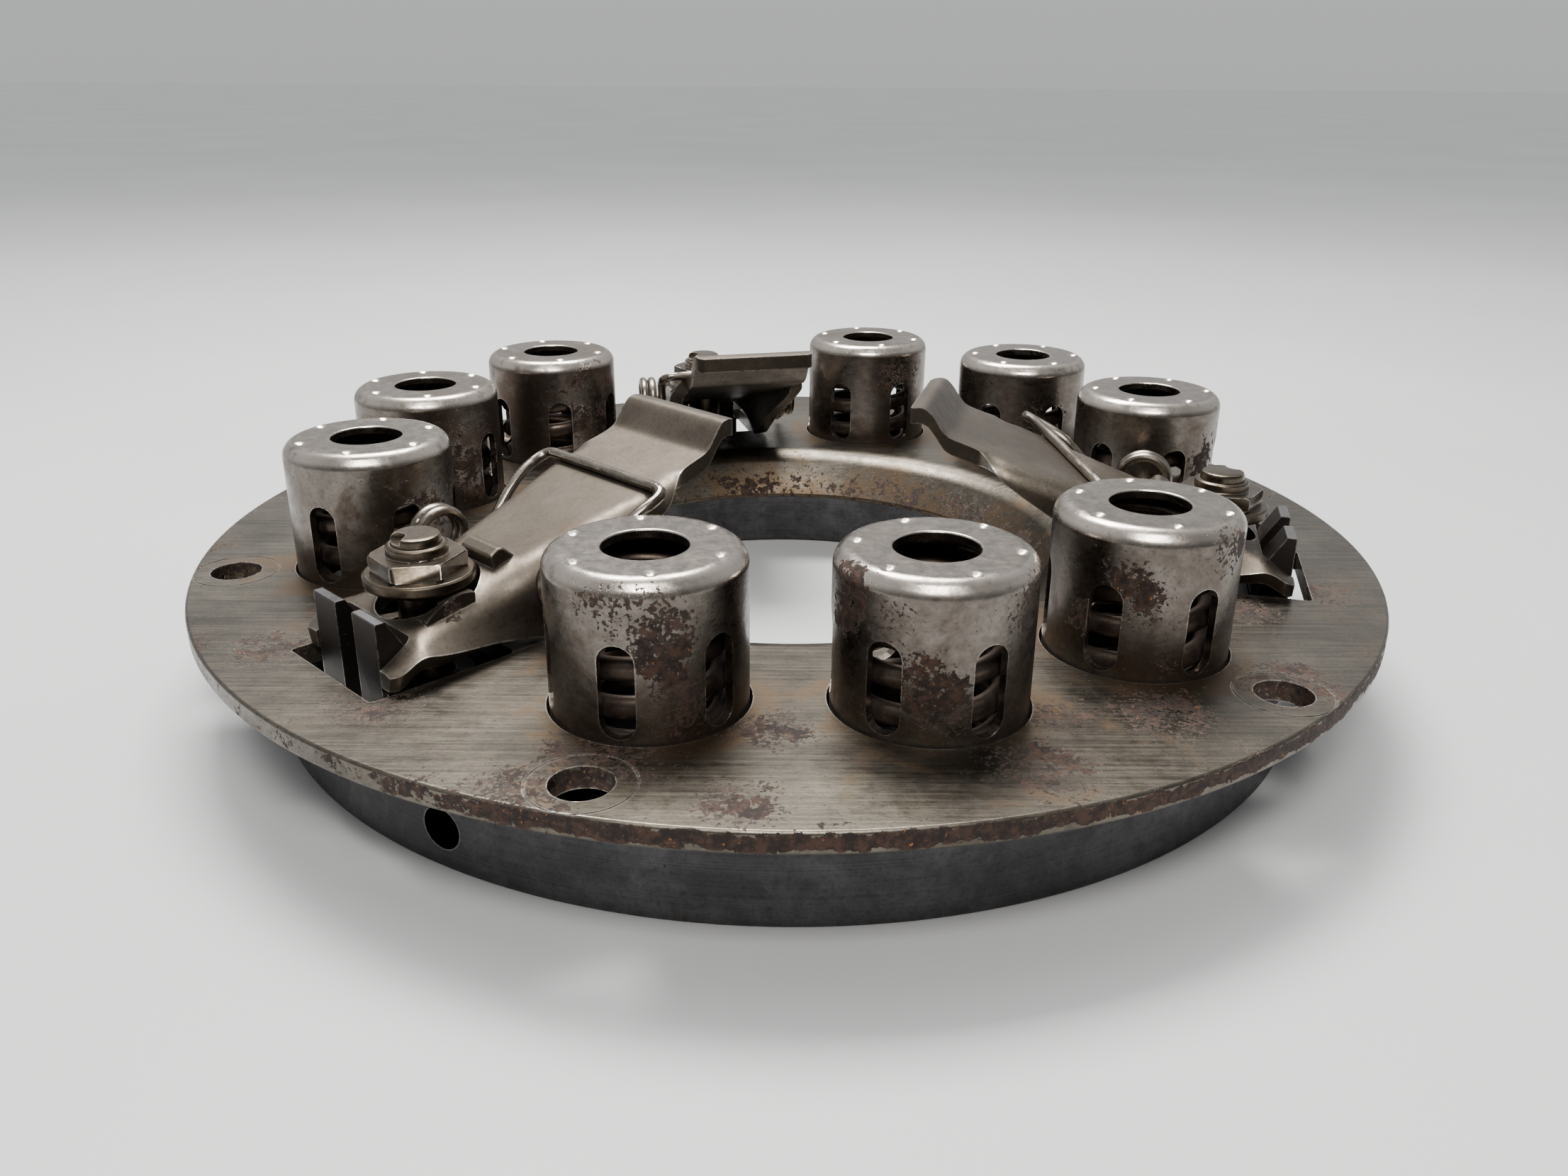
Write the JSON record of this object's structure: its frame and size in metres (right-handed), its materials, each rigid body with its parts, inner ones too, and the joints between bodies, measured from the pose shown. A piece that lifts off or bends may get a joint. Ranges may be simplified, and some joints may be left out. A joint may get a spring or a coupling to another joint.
{
  "type": "coil spring clutch cover assembly",
  "caption": "Round pressed-steel clutch cover with a ring of slotted spring cups, sprung release levers on studs with nuts, and a cast pressure plate beneath that lifts as the levers tilt.",
  "frame": {"origin": "centre of the pressure plate's friction face, which is the lowest face", "axes": "+Z along the clutch axis, from the friction face towards the release levers' tips; -Y through the middle spring cup of the first group of three"},
  "size_m": [0.228, 0.228, 0.0542],
  "materials": {
    "cover_steel": "satin brown-grey, streaked, light rust",
    "cup_steel": "satin silver-grey, pitted, light rust",
    "plate_iron": "dark, turned edge",
    "spring_steel": "dark brown, dull",
    "seat_fibre": "dull fibre",
    "lever_steel": "satin brown-grey with bright worn edges",
    "fastener_steel": "dark, worn edges",
    "wire_steel": "bright drawn wire"
  },
  "bodies": {
    "cover": {"cover": "cover_steel", "spring_cup_1": "cup_steel", "spring_cup_2": "cup_steel", "spring_cup_3": "cup_steel", "spring_cup_4": "cup_steel", "spring_cup_5": "cup_steel", "spring_cup_6": "cup_steel", "spring_cup_7": "cup_steel", "spring_cup_8": "cup_steel", "spring_cup_9": "cup_steel", "coil_spring_1": "spring_steel", "coil_spring_2": "spring_steel", "coil_spring_3": "spring_steel", "coil_spring_4": "spring_steel", "coil_spring_5": "spring_steel", "coil_spring_6": "spring_steel", "coil_spring_7": "spring_steel", "coil_spring_8": "spring_steel", "coil_spring_9": "spring_steel"},
    "plate": {"pressure_plate": "plate_iron", "spring_seat_1": "seat_fibre", "spring_seat_2": "seat_fibre", "spring_seat_3": "seat_fibre", "spring_seat_4": "seat_fibre", "spring_seat_5": "seat_fibre", "spring_seat_6": "seat_fibre", "spring_seat_7": "seat_fibre", "spring_seat_8": "seat_fibre", "spring_seat_9": "seat_fibre", "lever_stud_1": "fastener_steel", "lever_stud_2": "fastener_steel", "lever_stud_3": "fastener_steel", "lever_washer_1": "fastener_steel", "lever_washer_2": "fastener_steel", "lever_washer_3": "fastener_steel", "lever_nut_1": "fastener_steel", "lever_nut_2": "fastener_steel", "lever_nut_3": "fastener_steel"},
    "lever_1": {"release_lever_1": "lever_steel", "lever_wire_spring_1": "wire_steel"},
    "lever_2": {"release_lever_2": "lever_steel", "lever_wire_spring_2": "wire_steel"},
    "lever_3": {"release_lever_3": "lever_steel", "lever_wire_spring_3": "wire_steel"}
  },
  "joints": [
    {"name": "plate_lift", "type": "slide", "parent": "cover", "child": "plate", "axis": [0, 0, 1], "range_m": [0, 0.0025], "deforming": ["coil_spring_1", "coil_spring_2", "coil_spring_3", "coil_spring_4", "coil_spring_5", "coil_spring_6", "coil_spring_7", "coil_spring_8", "coil_spring_9"]},
    {"name": "lever_tilt_1", "type": "hinge", "parent": "cover", "child": "lever_1", "pos_m": [-0.06062, -0.035, 0.0275], "axis": [-0.5, 0.866, 0], "range_deg": [0, 10.7]},
    {"name": "lever_tilt_2", "type": "hinge", "parent": "cover", "child": "lever_2", "pos_m": [0.06062, -0.035, 0.0275], "axis": [-0.5, -0.866, 0], "range_deg": [0, 10.7]},
    {"name": "lever_tilt_3", "type": "hinge", "parent": "cover", "child": "lever_3", "pos_m": [0, 0.07, 0.0275], "axis": [1, 0, 0], "range_deg": [0, 10.7]}
  ],
  "couplings": [
    {"joint": "lever_tilt_1", "follows": "plate_lift", "rad_per_m": 74.07},
    {"joint": "lever_tilt_2", "follows": "plate_lift", "rad_per_m": 74.07},
    {"joint": "lever_tilt_3", "follows": "plate_lift", "rad_per_m": 74.07}
  ]
}
